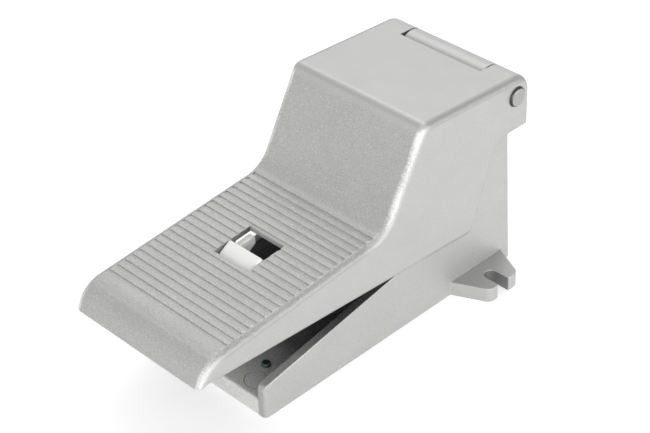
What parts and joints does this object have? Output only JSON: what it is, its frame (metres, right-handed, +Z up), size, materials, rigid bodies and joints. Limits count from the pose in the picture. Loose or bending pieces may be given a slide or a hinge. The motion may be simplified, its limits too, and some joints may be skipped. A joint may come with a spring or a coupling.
{
  "type": "foot pedal air valve",
  "caption": "Foot pedal air valve: a cast hinged pedal with a grooved tread and a lock latch presses a spool in a cast base with threaded rear ports and slotted fixing lugs.",
  "frame": {"origin": "on the underside of the base, midway between the two foot slots", "axes": "+Z up; +Y from the toe of the pedal towards the threaded ports; X across, with the middle plane at X = 0"},
  "size_m": [0.0992, 0.1867, 0.0964],
  "materials": {
    "silver_casting": "cast aluminium with a fine sand texture under silver-grey paint, satin",
    "white_latch_plastic": "smooth moulded white plastic, semi-gloss",
    "bright_steel": "ground steel",
    "spring_wire": "drawn spring wire",
    "gland_brass": "turned brass",
    "spool_aluminium": "fine turned aluminium",
    "button_plastic": "black wear-resistant plastic",
    "seal_rubber": "black nitrile rubber",
    "washer_plastic": "black plain-bearing plastic"
  },
  "bodies": {
    "base": {"base": "silver_casting", "hinge_pin": "bright_steel", "hinge_washers": "washer_plastic", "pin_grub_screw": "bright_steel", "gland_nut": "gland_brass", "gland_seal": "seal_rubber", "bottom_cap": "gland_brass", "cap_seal": "seal_rubber", "return_spring": "spring_wire", "catch_bracket": "bright_steel", "catch_screws": "bright_steel", "floor_plugs": "bright_steel"},
    "pedal": {"pedal": "silver_casting", "thrust_pad": "bright_steel", "latch_pin": "bright_steel", "latch_rings": "bright_steel", "latch_spring": "spring_wire"},
    "latch": {"lock_latch": "white_latch_plastic"},
    "spool": {"spool": "spool_aluminium", "spool_seals": "seal_rubber", "push_button": "button_plastic"}
  },
  "joints": [
    {"name": "pedal_hinge", "type": "hinge", "parent": "base", "child": "pedal", "pos_m": [0, 0.01965, 0.0846], "axis": [1, 0, 0], "range_deg": [0, 9], "stiffness_Nm_per_rad": 3, "springref_deg": -14.32},
    {"name": "latch_pivot", "type": "hinge", "parent": "pedal", "child": "latch", "pos_m": [0, -0.0984, 0.0445], "axis": [1, 0, 0], "range_deg": [0, 12], "stiffness_Nm_per_rad": 0.02, "springref_deg": -17.19, "deforming": ["latch_spring"]},
    {"name": "spool_slide", "type": "slide", "parent": "base", "child": "spool", "axis": [0, 0, -1], "range_m": [0, 0.00386], "deforming": ["return_spring"]}
  ],
  "couplings": [
    {"joint": "spool_slide", "follows": "pedal_hinge", "m_per_rad": 0.0245}
  ]
}
